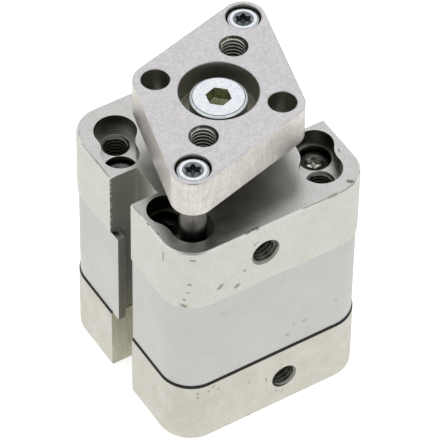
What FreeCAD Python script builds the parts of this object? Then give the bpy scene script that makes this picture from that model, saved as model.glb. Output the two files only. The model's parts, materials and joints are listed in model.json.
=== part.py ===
import FreeCAD, Part
import math
import os

# Compact pneumatic cylinder, 25 mm bore and 10 mm stroke, with a guided diamond plate on its rod.
# Frame: origin at the centre of the rear cover's outer face, +Z along the rod, ports on the -Y side.
# All pieces stand where they are with the rod drawn in. Lengths are in millimetres.

# Body
bore_d = 25.0
slot_depth = 5.4
slot_back_wall = 1.85
body_corner_r = 6.4
cover_h = 13.8
cover_edge_break = 0.3
barrel_inset = 0.25
gasket_t = 0.5
gasket_inset = 0.1

# Sensor slots
slot_w = 7.1
slot_lip = 2.15
slot_lip_t = 1.5

# Stroke and piston
stroke = 10.0
end_gap = 0.1
piston_gap = 0.25
piston_end_land = 0.9
piston_seal_w = 1.8
piston_seal_depth = 2.2
piston_mid_land = 0.7
guide_ring_w = 2.6
guide_ring_t = 1.4
magnet_cover = 1.0
magnet_t = 2.5
rod_seat_depth = 1.0

# Dampers
damper_stand = 1.0
damper_seat = 1.5
damper_land = 0.5
damper_w = 2.0

# Piston rod and its guidance
rod_d = 10.0
rod_chamfer = 0.5
rod_bush_wall = 1.5
rod_seal_wall = 3.0
rod_seal_h = 4.0
rod_seal_lip = 0.6

# Guide rods
guide_rod_d = 5.0
guide_shift = 0.25
guide_bush_wall = 1.0
guide_bush_shelf = 0.4
guide_bush_reach = 4.0
guide_overrun = 1.0
guide_hole_room = 0.1
guide_room = 0.5

# Corner pockets and mounting threads
mount_rise = 5.35
mount_lobe_d = 7.7
pocket_depth = 3.6
pocket_neck_r = 4.5
thread_floor = 1.7
m5_minor_d = 4.2
m5_countersink = 0.55

# Cover screws
cover_screw_sink = 1.0
cover_screw_grip = 7.5
cover_head_room = 0.3
screw_lobe_wall = 0.35
screw_side_land = 1.2
screw_slot_land = 0.7

# Ports
port_from_end = 6.7
port_offset = 2.4
port_depth = 7.0
front_port_countersink = 0.7
rear_port_countersink = 0.45
passage_d = 2.5
passage_wall = 0.6
channel_d = 2.0

# Guide plate
plate_gap = 6.7
plate_t = 7.8
plate_edge_break = 0.2
plate_rim_wall = 0.85
pilot_d = 14.0
pilot_web = 2.3
plate_hole_d = 5.0
plate_hole_wall = 1.67
guide_web = 2.2
cap_sink = 0.6
hole_break = 0.15

# Socket screws: M3 cap head, M5 and M6 low head
m3_d = 3.0
m3_head_d = 5.5
m3_head_h = 3.0
m3_key = 2.5
m3_grip = 7.0
m5_d = 5.0
m5_head_d = 8.5
m5_head_h = 3.5
m5_key = 3.0
m5_grip = 7.0
m5_sink = 2.0
m6_d = 6.0
m6_head_d = 10.0
m6_head_h = 4.0
m6_key = 4.0
m6_grip = 12.0
key_depth_share = 0.55
head_break = 0.35
hole_end_room = 2.0

# Front seal
o_ring_d = 1.2
o_ring_room = 0.05
o_ring_sides = 8

# Clearances, each on the radius
running_gap = 0.04
seat_gap = 0.02
head_room = 0.4
screw_room = 0.2
sunk_room = 0.6

# Heights that follow from the stack
piston_len = 2 * (piston_end_land + piston_seal_w + piston_mid_land) + guide_ring_w
chamber_len = stroke + piston_len + 2 * (damper_stand + end_gap)
barrel_z0 = cover_h + gasket_t
barrel_z1 = cover_h + chamber_len
body_h = barrel_z1 + cover_h
piston_z0 = cover_h + damper_stand + end_gap
piston_z1 = piston_z0 + piston_len
piston_split = (piston_z0 + piston_z1) / 2
plate_z0 = body_h + plate_gap
plate_z1 = plate_z0 + plate_t
rear_floor = pocket_depth
front_floor = body_h - pocket_depth
cover_screw_seat = front_floor - cover_screw_sink - m3_head_h
guide_bush_z0 = barrel_z1 - guide_bush_reach
guide_bush_z1 = cover_screw_seat - guide_bush_shelf
guide_rod_z0 = guide_bush_z0 - stroke - guide_overrun
guide_rod_z1 = plate_z1 - cap_sink - m3_head_h - guide_web

# Diameters that follow
cap_bore_d = m3_head_d + 2 * head_room
cover_cap_bore_d = m3_head_d + 2 * cover_head_room
screw_lobe_d = cover_cap_bore_d + 2 * screw_lobe_wall
guide_bush_d = guide_rod_d + 2 * guide_bush_wall
rod_bush_d = rod_d + 2 * rod_bush_wall
rod_seal_d = rod_d + 2 * rod_seal_wall
damper_bore_d = rod_bush_d + 2 * damper_land
damper_d = damper_bore_d + 2 * damper_w

# Places across the body: the side holds the bore and a slot each way, and the corners' screws stand beside the slots
body_side = bore_d + 2 * (slot_back_wall + slot_depth)
half = body_side / 2
slot_back = half - slot_depth
cover_screw_x = half - screw_side_land - screw_lobe_d / 2
cover_screw_y = slot_w / 2 + screw_slot_land + screw_lobe_d / 2
mount_at = cover_screw_y + mount_rise
guide_at = mount_at + guide_shift
plate_hole_at = (pilot_d / 2 + plate_hole_wall + plate_hole_d / 2) / math.sqrt(2)

# The four corners, as signs of X and Y; the guide rods stand at two of them
CORNERS = ((-1, -1), (1, -1), (1, 1), (-1, 1))
GUIDE_CORNERS = {"left": (-1, -1), "right": (1, 1)}
THREAD_CORNERS = tuple(c for c in CORNERS if c not in GUIDE_CORNERS.values())

UP = FreeCAD.Vector(0, 0, 1)
CENTRE = FreeCAD.Vector(0, 0, 0)
PAST = 1.0
NEAR = 1e-4


def cylinder(d, z0, z1, x=0.0, y=0.0):
    """Upright cylinder between two heights."""
    return Part.makeCylinder(d / 2, z1 - z0, FreeCAD.Vector(x, y, z0))


def cone(d0, d1, z0, z1, x=0.0, y=0.0):
    """Upright cone, with its diameters at two heights."""
    return Part.makeCone(d0 / 2, d1 / 2, z1 - z0, FreeCAD.Vector(x, y, z0))


def fuse_all(shapes):
    """One solid from shapes that meet."""
    return shapes[0].multiFuse(shapes[1:]).removeSplitter()


def cut_all(base, tools):
    """The base without its cut-outs."""
    return base.cut(Part.makeCompound(tools)).removeSplitter()


def revolved(profile):
    """Ring or disc from a closed profile of (radius, height) points."""
    points = [FreeCAD.Vector(r, 0, z) for r, z in profile]
    face = Part.Face(Part.makePolygon(points + points[:1]))
    return face.revolve(CENTRE, UP, 360)


def turned_over(shape, z_mid):
    """The shape turned half a turn about the X direction at a height, so that up becomes down."""
    copy = shape.copy()
    copy.rotate(FreeCAD.Vector(0, 0, z_mid), FreeCAD.Vector(1, 0, 0), 180)
    return copy


def is_upright(edge):
    """True for a straight edge along Z."""
    return len(edge.Vertexes) == 2 and edge.tangentAt(edge.FirstParameter).cross(UP).Length < NEAR


def edges_at(shape, z):
    """Edges that lie flat at one height."""
    return [e for e in shape.Edges if abs(e.BoundBox.ZMin - z) < NEAR and abs(e.BoundBox.ZMax - z) < NEAR]


def square_block(side, corner_r, z0, z1):
    """Square block with rounded upright corners."""
    block = Part.makeBox(side, side, z1 - z0, FreeCAD.Vector(-side / 2, -side / 2, z0))
    return block.makeFillet(corner_r, [e for e in block.Edges if is_upright(e)])


def slot_cuts(z0, z1, y0, y1, x0, x1):
    """The same rectangular slot in both side faces, the second half a turn round from the first."""
    first = Part.makeBox(x1 - x0, y1 - y0, z1 - z0, FreeCAD.Vector(x0, y0, z0))
    second = first.copy()
    second.rotate(CENTRE, UP, 180)
    return [first, second]


def cover_slots(z0, z1):
    """Plain slots that let a sensor in from the end."""
    return slot_cuts(z0 - PAST, z1 + PAST, -slot_w / 2, slot_w / 2, slot_back, half + PAST)


def at_cover_screws(tool_at):
    """A tool at each of the four cover screws."""
    return [tool_at(sx * cover_screw_x, sy * cover_screw_y) for sx, sy in CORNERS]


def neck_edges(shape, first, second):
    """Upright edges where two round lobes meet; each lobe is (x, y, diameter)."""
    found = []
    for edge in shape.Edges:
        if is_upright(edge):
            p = edge.Vertexes[0].Point
            on = [abs(math.hypot(p.x - x, p.y - y) - d / 2) < NEAR for x, y, d in (first, second)]
            if all(on):
                found.append(edge)
    return found


def corner_pocket(corner, corner_at):
    """Figure-eight pocket of the front cover: a lobe on the corner and a lobe on the screw, with rounded necks.

    It is made on the corner where x and y are positive, then mirrored to its own.
    """
    big = (corner_at, corner_at, mount_lobe_d)
    small = (cover_screw_x, cover_screw_y, screw_lobe_d)
    lobes = [cylinder(d, front_floor, body_h + PAST, x, y) for x, y, d in (big, small)]
    pocket = lobes[0].fuse(lobes[1])
    pocket = pocket.makeFillet(pocket_neck_r, neck_edges(pocket, big, small))
    for sign, normal in zip(corner, (FreeCAD.Vector(1, 0, 0), FreeCAD.Vector(0, 1, 0))):
        if sign < 0:
            pocket = pocket.mirror(CENTRE, normal)
    return pocket


def thread_cut(x, y, z_mouth, depth):
    """Blind thread's core with its countersunk mouth, opening upwards."""
    mouth_d = m5_minor_d + 2 * m5_countersink
    core = cylinder(m5_minor_d, z_mouth - depth, z_mouth + PAST, x, y)
    return fuse_all([core, cone(m5_minor_d, mouth_d, z_mouth - m5_countersink, z_mouth, x, y)])


def cover_screw_cut(x, y):
    """Counterbore under the pocket and the screw's hole through the front cover."""
    seat = cover_screw_seat
    head = cylinder(cover_cap_bore_d, seat, body_h, x, y)
    return fuse_all([head, cylinder(m3_d + 2 * screw_room, barrel_z1 - PAST, seat + PAST, x, y)])


def port_cut(x, z, z_inner, countersink):
    """Threaded port in the -Y face and its air passage to the chamber."""
    radius = damper_d / 2 + passage_wall + passage_d / 2
    y_passage = -math.sqrt(radius ** 2 - x ** 2)
    inward = FreeCAD.Vector(0, 1, 0)
    face = FreeCAD.Vector(x, -half, z)
    core = Part.makeCylinder(m5_minor_d / 2, port_depth + PAST, face - inward * PAST, inward)
    mouth = Part.makeCone(m5_minor_d / 2 + countersink, m5_minor_d / 2, countersink, face, inward)
    channel = Part.makeCylinder(channel_d / 2, y_passage + half, face, inward)
    z_end = z + math.copysign(passage_d, z - z_inner)
    passage = cylinder(passage_d, min(z_end, z_inner), max(z_end, z_inner), x, y_passage)
    return fuse_all([core, mouth, channel, passage])


def damper_ring_cut(z_face, inward):
    """Ring groove that holds a damper, sunk from a cover's inner face."""
    z0, z1 = sorted((z_face - inward * PAST, z_face + inward * damper_seat))
    outer = cylinder(damper_d + 2 * seat_gap, z0, z1)
    return outer.cut(cylinder(damper_bore_d - 2 * seat_gap, z0, z1))


def cover_blank(threads_at, other_lobes):
    """Cover with its slots, pockets, threads and screw holes, standing as the front cover does."""
    blank = square_block(body_side, body_corner_r, barrel_z1, body_h)
    blank = blank.makeChamfer(cover_edge_break, edges_at(blank, body_h))
    pockets = [corner_pocket(c, mount_at) for c in threads_at]
    pockets += [corner_pocket(c, guide_at) for c in other_lobes]
    blank = cut_all(blank, cover_slots(barrel_z1, body_h) + pockets)
    depth = front_floor - barrel_z1 - thread_floor
    holes = [thread_cut(sx * mount_at, sy * mount_at, front_floor, depth) for sx, sy in threads_at]
    return cut_all(blank, holes + at_cover_screws(cover_screw_cut))


def front_cover():
    """Rod-end cover: rod and guide bearings, seal seat, front port and damper groove."""
    z_port = body_h - port_from_end
    z_seal = body_h - rod_seal_h
    o_ring_at = bore_d / 2 + slot_back_wall / 2
    groove_half = o_ring_d / 2 + o_ring_room
    groove = cylinder(2 * (o_ring_at + groove_half), barrel_z1 - PAST, barrel_z1 + o_ring_d)
    groove = groove.cut(cylinder(2 * (o_ring_at - groove_half), barrel_z1 - PAST, barrel_z1 + o_ring_d))
    cuts = [
        port_cut(-port_offset, z_port, barrel_z1 - PAST, front_port_countersink),
        cylinder(rod_bush_d + 2 * seat_gap, barrel_z1 - PAST, body_h),
        cylinder(rod_seal_d + 2 * seat_gap, z_seal, body_h + PAST),
        damper_ring_cut(barrel_z1, 1),
        groove,
    ]
    for sx, sy in GUIDE_CORNERS.values():
        x, y = sx * guide_at, sy * guide_at
        cuts.append(cylinder(guide_rod_d + 2 * guide_hole_room, barrel_z1, front_floor + PAST, x, y))
        cuts.append(cylinder(guide_bush_d + 2 * seat_gap, barrel_z1 - PAST, guide_bush_z1, x, y))
    return cut_all(cover_blank(THREAD_CORNERS, GUIDE_CORNERS.values()), cuts)


def rear_cover():
    """Blind cover: four mounting threads, rear port, damper groove and room for the piston screw's head."""
    head_out = m5_head_h - m5_sink - damper_stand - end_gap
    blank = turned_over(cover_blank(CORNERS, ()), body_h / 2)
    cuts = [
        port_cut(port_offset, port_from_end, cover_h + PAST, rear_port_countersink),
        damper_ring_cut(cover_h, -1),
        cylinder(m5_head_d + 2 * sunk_room, cover_h - head_out - sunk_room, cover_h + PAST),
    ]
    return cut_all(blank, cuts)


def barrel():
    """Profile tube with lipped sensor slots, screw cores and room for the guide rods."""
    z0, z1 = barrel_z0 - PAST, barrel_z1 + PAST
    side = body_side - 2 * barrel_inset
    tube = square_block(side, body_corner_r - barrel_inset, barrel_z0, barrel_z1)
    mouth = slot_cuts(z0, z1, slot_lip - slot_w / 2, slot_w / 2, slot_back, half + PAST)
    hidden = slot_cuts(z0, z1, -slot_w / 2, slot_w / 2, slot_back, half - barrel_inset - slot_lip_t)
    cores = at_cover_screws(lambda x, y: cylinder(m3_d + 2 * seat_gap, z0, z1, x, y))
    rooms = []
    for sx, sy in GUIDE_CORNERS.values():
        x, y = sx * guide_at, sy * guide_at
        rooms.append(cylinder(guide_rod_d + 2 * guide_room, z0, z1, x, y))
        rooms.append(cylinder(guide_bush_d + 2 * seat_gap, guide_bush_z0, z1, x, y))
    return cut_all(tube, [cylinder(bore_d, z0, z1)] + mouth + hidden + cores + rooms)


def rear_gasket():
    """Flat seal between the barrel and the rear cover."""
    z0, z1 = cover_h - PAST, barrel_z0 + PAST
    sheet = square_block(body_side - 2 * gasket_inset, body_corner_r - gasket_inset, cover_h, barrel_z0)
    holes = at_cover_screws(lambda x, y: cylinder(m3_d + 2 * screw_room, z0, z1, x, y))
    return cut_all(sheet, [cylinder(bore_d, z0, z1)] + cover_slots(cover_h, barrel_z0) + holes)


def front_o_ring():
    """Face seal in the front cover's groove, its round section as a many-sided one."""
    r, z = bore_d / 2 + slot_back_wall / 2, barrel_z1 + o_ring_d / 2
    step = 2 * math.pi / o_ring_sides
    section = o_ring_d / 2 / math.cos(step / 2)
    angles = [step * (i + 0.5) for i in range(o_ring_sides)]
    return revolved([(r + section * math.cos(a), z + section * math.sin(a)) for a in angles])


def hex_key(across, z0, z1):
    """Hexagonal socket's cut, between two heights."""
    r = across / math.sqrt(3)
    points = [FreeCAD.Vector(r * math.cos(a), r * math.sin(a), z0) for a in (math.pi / 3 * i for i in range(7))]
    return Part.Face(Part.makePolygon(points)).extrude(UP * (z1 - z0))


def socket_screw(d, head_d, head_h, key, length):
    """Socket screw with the underside of its head at the origin; key is its socket's width across flats."""
    body = revolved([
        (0, -length), (d / 2, -length), (d / 2, 0), (head_d / 2, 0),
        (head_d / 2, head_h - head_break), (head_d / 2 - head_break, head_h), (0, head_h),
    ])
    return body.cut(hex_key(key, head_h * (1 - key_depth_share), head_h + PAST))


def moved(shape, x, y, z):
    """A copy of the shape, shifted."""
    copy = shape.copy()
    copy.translate(FreeCAD.Vector(x, y, z))
    return copy


def cover_screws(z_seat, length):
    """Four cover screws, heads up."""
    screw = socket_screw(m3_d, m3_head_d, m3_head_h, m3_key, length)
    return at_cover_screws(lambda x, y: moved(screw, x, y, z_seat))


def front_cover_screws():
    """The four screws that hold the front cover on the barrel."""
    length = cover_screw_seat - barrel_z1 + cover_screw_grip
    return Part.makeCompound(cover_screws(cover_screw_seat, length))


def rear_cover_screws():
    """The four screws that hold the rear cover and its gasket on the barrel, heads down."""
    seat = rear_floor + cover_screw_sink + m3_head_h
    length = barrel_z0 - seat + cover_screw_grip
    return Part.makeCompound([turned_over(s, seat) for s in cover_screws(seat, length)])


def sleeve(outer_d, inner_d, z0, z1, x=0.0, y=0.0):
    """Plain bearing bush."""
    return cylinder(outer_d, z0, z1, x, y).cut(cylinder(inner_d, z0 - PAST, z1 + PAST, x, y))


def rod_bush():
    """Plain bearing of the piston rod."""
    return sleeve(rod_bush_d, rod_d + 2 * running_gap, barrel_z1, body_h - rod_seal_h)


def guide_bush(corner):
    """Plain bearing of one guide rod."""
    sx, sy = corner
    inner_d = guide_rod_d + 2 * running_gap
    return sleeve(guide_bush_d, inner_d, guide_bush_z0, guide_bush_z1, sx * guide_at, sy * guide_at)


def rod_seal():
    """Rod seal and wiper: a ring in its seat, with a wiping lip that stands above the cover."""
    r_rod = rod_d / 2 + running_gap
    r_out = rod_seal_d / 2
    r_mid = (r_rod + r_out) / 2
    z0 = body_h - rod_seal_h
    z_top = body_h - hole_break
    return revolved([
        (r_mid, z0), (r_out, z0), (r_out, z_top), (r_mid, z_top), (r_rod + rod_seal_lip, body_h + rod_seal_lip),
        (r_rod, body_h + rod_seal_lip), (r_rod + rod_seal_lip, body_h - rod_seal_h / 2), (r_rod, z0 + rod_seal_lip),
        (r_rod + rod_seal_lip, z0),
    ])


def damper(z_cover_face, inward):
    """Rubber ring that the piston stops on, half in its groove and half in the chamber."""
    z0, z1 = sorted((z_cover_face + inward * damper_seat, z_cover_face - inward * damper_stand))
    return sleeve(damper_d, damper_bore_d, z0, z1)


def piston_blank():
    """Both piston halves in one, with the seal and guide ring grooves and the magnet's room."""
    r = bore_d / 2 - piston_gap
    r_seal = bore_d / 2 - piston_seal_depth
    r_ring = bore_d / 2 - running_gap - guide_ring_t - seat_gap
    z_a = piston_z0 + piston_end_land
    z_b = z_a + piston_seal_w
    z_c = z_b + piston_mid_land
    z_d = z_c + guide_ring_w
    z_e = z_d + piston_mid_land
    z_f = z_e + piston_seal_w
    blank = revolved([
        (0, piston_z0), (r, piston_z0), (r, z_a), (r_seal, z_a), (r_seal, z_b), (r, z_b), (r, z_c), (r_ring, z_c),
        (r_ring, z_d), (r, z_d), (r, z_e), (r_seal, z_e), (r_seal, z_f), (r, z_f), (r, piston_z1), (0, piston_z1),
    ])
    r_magnet = r_ring - magnet_cover
    room = sleeve(2 * (r_magnet + seat_gap), 2 * (r_magnet - magnet_t - seat_gap), z_c, z_d)
    return cut_all(blank, [
        room,
        cylinder(m5_d + 2 * seat_gap, piston_z0 - PAST, piston_z1 + PAST),
        cylinder(m5_head_d + 2 * head_room, piston_z0 - PAST, piston_z0 + m5_sink),
        cylinder(rod_d + 2 * seat_gap, piston_z1 - rod_seat_depth, piston_z1 + PAST),
    ])


def piston_half(z0, z1):
    """The part of the piston between two heights."""
    return piston_blank().common(cylinder(2 * bore_d, z0, z1))


def piston_magnet():
    """Ring magnet between the piston halves."""
    r = bore_d / 2 - running_gap - guide_ring_t - seat_gap - magnet_cover
    half_w = guide_ring_w / 2
    return sleeve(2 * r, 2 * (r - magnet_t), piston_split - half_w, piston_split + half_w)


def piston_guide_ring():
    """Wear ring round the piston's middle."""
    r = bore_d / 2 - running_gap
    half_w = guide_ring_w / 2
    return sleeve(2 * r, 2 * (r - guide_ring_t), piston_split - half_w, piston_split + half_w)


def piston_seal_rear():
    """Lip seal whose open side faces the rear chamber."""
    r_in = bore_d / 2 - piston_seal_depth + seat_gap
    r_out = bore_d / 2 - running_gap
    r_mid = (r_in + r_out) / 2
    z0 = piston_z0 + piston_end_land
    z1 = z0 + piston_seal_w
    heel = piston_gap
    return revolved([
        (r_in, z0), (r_mid - heel, z0), (r_mid, (z0 + z1) / 2), (r_mid + heel, z0), (r_out, z0),
        (r_out - heel, z1), (r_in, z1),
    ])


def piston_seal_front():
    """The same lip seal, facing the front chamber."""
    return turned_over(piston_seal_rear(), piston_split)


def piston_screw():
    """Low-head screw that clamps the piston halves on the rod, head down."""
    seat = piston_z0 + m5_sink
    length = piston_z1 - rod_seat_depth + m5_grip - seat
    screw = socket_screw(m5_d, m5_head_d, m5_head_h, m5_key, length)
    return turned_over(moved(screw, 0, 0, seat), seat)


def piston_rod():
    """Rod from the piston to the plate, threaded inside at both ends."""
    z0, z1 = piston_z1 - rod_seat_depth, plate_z0
    r = rod_d / 2
    rod = revolved([
        (0, z0), (r - rod_chamfer, z0), (r, z0 + rod_chamfer), (r, z1 - rod_chamfer), (r - rod_chamfer, z1), (0, z1),
    ])
    return cut_all(rod, [
        cylinder(m5_d + 2 * seat_gap, z0 - PAST, z0 + m5_grip + hole_end_room),
        cylinder(m6_d + 2 * seat_gap, z1 - m6_grip - hole_end_room, z1 + PAST),
    ])


def guide_rod(corner):
    """Guide rod from its socket in the plate, long enough to stay in its bush over the stroke."""
    sx, sy = corner
    z0, z1 = guide_rod_z0, guide_rod_z1
    r = guide_rod_d / 2
    rod = revolved([(0, z0), (r - rod_chamfer, z0), (r, z0 + rod_chamfer), (r, z1), (0, z1)])
    rod = rod.cut(cylinder(m3_d + 2 * seat_gap, z1 - m3_grip - hole_end_room, z1 + PAST))
    return moved(rod, sx * guide_at, sy * guide_at, 0)


def through_hole(d, x, y, z0, z1, mouth=hole_break):
    """Hole down from the top face at z1 to z0, with a broken or countersunk mouth."""
    hole = cylinder(d, z0, z1 + PAST, x, y)
    return fuse_all([hole, cone(d, d + 2 * mouth, z1 - mouth, z1, x, y)])


def guide_plate():
    """Rounded diamond on the rod: pilot bore, two threads, two pin holes and the guide rods' screws and sockets."""
    long_at, short_at = guide_at, plate_hole_at
    corners = [(-long_at, -long_at), (short_at, -short_at), (long_at, long_at), (-short_at, short_at)]
    diamond = Part.makePolygon([FreeCAD.Vector(x, y, plate_z0) for x, y in corners + corners[:1]])
    outline = Part.Face(diamond).makeOffset2D(cap_bore_d / 2 + plate_rim_wall)
    plate = outline.extrude(UP * plate_t)
    plate = plate.makeChamfer(plate_edge_break, edges_at(plate, plate_z0) + edges_at(plate, plate_z1))
    z0, z1 = plate_z0 - PAST, plate_z1
    cuts = [
        through_hole(pilot_d, 0, 0, plate_z0 + pilot_web, z1),
        cylinder(m6_d + 2 * screw_room, z0, z1),
    ]
    for s in (-1, 1):
        cuts.append(through_hole(m5_minor_d, s * short_at, s * short_at, z0, z1, m5_countersink))
        cuts.append(through_hole(plate_hole_d, -s * short_at, s * short_at, z0, z1))
    for sx, sy in GUIDE_CORNERS.values():
        x, y = sx * guide_at, sy * guide_at
        seat = guide_rod_z1 + guide_web
        cuts.append(through_hole(cap_bore_d, x, y, seat, z1))
        cuts.append(cylinder(m3_d + 2 * screw_room, z0, seat + PAST, x, y))
        cuts.append(cylinder(guide_rod_d + 2 * seat_gap, z0, guide_rod_z1, x, y))
    return cut_all(plate, cuts)


def plate_screw():
    """Low-head screw that holds the plate on the rod."""
    screw = socket_screw(m6_d, m6_head_d, m6_head_h, m6_key, pilot_web + m6_grip)
    return moved(screw, 0, 0, plate_z0 + pilot_web)


def guide_rod_screws():
    """The two cap screws that hold the guide rods on the plate."""
    screw = socket_screw(m3_d, m3_head_d, m3_head_h, m3_key, guide_web + m3_grip)
    seat = guide_rod_z1 + guide_web
    return Part.makeCompound([moved(screw, sx * guide_at, sy * guide_at, seat) for sx, sy in GUIDE_CORNERS.values()])


def build():
    """All pieces by name."""
    pieces = {
        "front_cover": front_cover(),
        "barrel": barrel(),
        "rear_cover": rear_cover(),
        "rear_gasket": rear_gasket(),
        "front_o_ring": front_o_ring(),
        "front_cover_screws": front_cover_screws(),
        "rear_cover_screws": rear_cover_screws(),
        "rod_bush": rod_bush(),
        "rod_seal": rod_seal(),
        "front_damper": damper(barrel_z1, 1),
        "rear_damper": damper(cover_h, -1),
        "piston_rod": piston_rod(),
        "piston_front_half": piston_half(piston_split, piston_z1 + PAST),
        "piston_rear_half": piston_half(piston_z0 - PAST, piston_split),
        "piston_magnet": piston_magnet(),
        "piston_guide_ring": piston_guide_ring(),
        "piston_seal_front": piston_seal_front(),
        "piston_seal_rear": piston_seal_rear(),
        "piston_screw": piston_screw(),
        "guide_plate": guide_plate(),
        "plate_screw": plate_screw(),
        "guide_rod_screws": guide_rod_screws(),
    }
    for side, corner in GUIDE_CORNERS.items():
        pieces["guide_bush_" + side] = guide_bush(corner)
        pieces["guide_rod_" + side] = guide_rod(corner)
    return pieces


os.makedirs("parts", exist_ok=True)
for name, piece in build().items():
    piece.exportStep("parts/" + name + ".step")
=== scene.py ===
"""Looks of a compact pneumatic cylinder: covers, barrel, guide plate, tapped holes, screws and rods."""
import json
import logging
import math
from dataclasses import dataclass, field
from enum import Enum
from functools import reduce
from typing import Callable, Iterable

import bmesh
import bpy
from mathutils import Matrix, Vector


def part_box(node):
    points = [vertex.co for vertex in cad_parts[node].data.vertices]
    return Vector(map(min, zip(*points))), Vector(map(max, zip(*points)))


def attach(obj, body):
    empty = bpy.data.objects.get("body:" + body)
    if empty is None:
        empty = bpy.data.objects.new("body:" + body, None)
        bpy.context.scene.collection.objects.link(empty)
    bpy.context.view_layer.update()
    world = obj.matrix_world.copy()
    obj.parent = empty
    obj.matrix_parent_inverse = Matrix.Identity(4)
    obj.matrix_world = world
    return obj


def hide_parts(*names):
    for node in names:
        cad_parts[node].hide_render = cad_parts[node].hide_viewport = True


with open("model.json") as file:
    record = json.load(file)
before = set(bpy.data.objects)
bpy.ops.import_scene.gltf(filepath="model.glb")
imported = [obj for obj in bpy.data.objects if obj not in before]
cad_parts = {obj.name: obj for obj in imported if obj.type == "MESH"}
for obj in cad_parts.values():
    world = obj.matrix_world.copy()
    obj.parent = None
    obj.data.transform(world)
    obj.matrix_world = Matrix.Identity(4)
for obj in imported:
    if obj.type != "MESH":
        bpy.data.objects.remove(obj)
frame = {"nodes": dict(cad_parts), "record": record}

LOG = logging.getLogger("cylinder")
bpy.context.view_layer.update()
MM = 0.001
WELD = 0.001 * MM
UP = Vector((0, 0, 1))

# A face looks along an axis where its normal's share of it is above FLAT, and leans that way above SLOPED
FLAT = 0.9
SLOPED = 0.5

Colour = tuple[float, float, float]
Point = tuple[float, float, float]
Corner = tuple[int, int]
Box = tuple[Vector, Vector]
Shape = bmesh.types.BMesh
Output = bpy.types.NodeSocket
Sockets = bpy.types.bpy_prop_collection


class Body(Enum):
    """The two rigid bodies of the cylinder."""

    FIXED = "cylinder_body"
    MOVING = "piston_assembly"


class Socket(Enum):
    """Shape of a screw's drive, by the number of points on its outline."""

    HEX = 6
    SIX_LOBE = 72


class Marks(Enum):
    """Strokes over a metal face: tool marks, and painted streaks of reflection on the rods and in the rear
    slot; their stretch along x, y and z, per metre.
    """

    NONE = (0.0, 0.0, 0.0)
    UPRIGHT = (2600.0, 2600.0, 260.0)
    RINGS = (200.0, 200.0, 6000.0)


class Wall(Enum):
    """Material index of a dressed mesh.

    SKIN is its sides or main face; BORE a hole, a drive, a pocket's floor without a thread or a gasket's rim
    in a slot; FLANK a slot or a plain flank; CREST a thread's crest, a port's mouth, the barrel's end or a
    head's edge; END a cover's end, the plate's underside or a head's dish; GROOVE a thread's groove or a
    screw painted near-black as shade; SINK the countersunk mouth of a thread.
    """

    SKIN = 0
    BORE = 1
    FLANK = 2
    CREST = 3
    END = 4
    GROOVE = 5
    SINK = 6


def linear(colour: Colour) -> tuple[float, ...]:
    """Turns a colour as it is seen on screen into the shader's linear values, with full alpha."""
    parts = [c / 12.92 if c <= 0.04045 else ((c + 0.055) / 1.055) ** 2.4 for c in colour]
    return (*parts, 1.0)


def millimetres(point: Iterable[float]) -> Vector:
    """Turns a point in millimetres into the scene's metres."""
    return Vector(point) * MM


class Graph:
    """Adds and links nodes in one node tree."""

    def __init__(self, tree: bpy.types.NodeTree) -> None:
        self.tree = tree

    @classmethod
    def afresh(cls, owner: bpy.types.Material | bpy.types.World) -> "Graph":
        """Empties the node tree of a material or world and returns its graph."""
        owner.use_nodes = True
        owner.node_tree.nodes.clear()
        return cls(owner.node_tree)

    def feed(self, node: bpy.types.Node, inputs: dict) -> None:
        """Sets or links inputs of a node.

        Args:
            node: The node.
            inputs: A value or another node's output for each named or numbered input.
        """
        for name, value in inputs.items():
            if isinstance(value, bpy.types.NodeSocket):
                self.tree.links.new(value, node.inputs[name])
            else:
                node.inputs[name].default_value = value

    def node(self, kind: str, inputs: dict | None = None, **settings) -> bpy.types.Node:
        """Adds a node.

        Args:
            kind: The node's type.
            inputs: What feed takes.
            **settings: Properties of the node itself.

        Returns:
            The new node.
        """
        made = self.tree.nodes.new(kind)
        for name, value in settings.items():
            setattr(made, name, value)
        self.feed(made, inputs or {})
        return made

    def group(self, tree: bpy.types.NodeTree, inputs: dict) -> Sockets:
        """Adds a node group and returns its outputs."""
        return self.node("ShaderNodeGroup", inputs, node_tree=tree).outputs

    def math(self, operation: str, *values) -> Output:
        """Adds a sum on numbers and returns its result."""
        return self.node("ShaderNodeMath", dict(enumerate(values)), operation=operation).outputs[0]

    def spread(self, value: Output, middle: float, half: float) -> Output:
        """Turns a value from 0 to 1 into one that strays from the middle by half at most."""
        return self.math("MULTIPLY_ADD", value, 2 * half, middle - half)

    def vector(self, operation: str, *values) -> Output:
        """Adds a sum on vectors and returns its result, a number for a dot product or distance."""
        made = self.node("ShaderNodeVectorMath", dict(enumerate(values)), operation=operation)
        return made.outputs["Value" if operation in ("DOT_PRODUCT", "DISTANCE") else "Vector"]

    def scaled(self, vector: Output, factor: Output) -> Output:
        """Multiplies a vector or colour by a number."""
        inputs = {0: vector, "Scale": factor}
        return self.node("ShaderNodeVectorMath", inputs, operation="SCALE").outputs["Vector"]

    def mix(self, factor, first, second) -> Output:
        """Mixes two colours."""
        inputs = {0: factor, 6: first, 7: second}
        return self.node("ShaderNodeMix", inputs, data_type="RGBA").outputs[2]

    def ramp(self, value, low: float, high: float, start: float = 0.0, end: float = 1.0) -> Output:
        """Eases a value from start at low to end at high."""
        inputs = {"Value": value, "From Min": low, "From Max": high, "To Min": start, "To Max": end}
        return self.node("ShaderNodeMapRange", inputs, interpolation_type="SMOOTHSTEP").outputs["Result"]

    def noise(self, place, scale, detail: float) -> Output:
        """Adds a noise texture and returns its value."""
        inputs = {"Vector": place, "Scale": scale, "Detail": detail, "Roughness": 0.6}
        return self.node("ShaderNodeTexNoise", inputs).outputs[0]

    def place(self) -> Output:
        """The point's place on the piece, in metres."""
        return self.node("ShaderNodeTexCoord").outputs["Object"]


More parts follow.
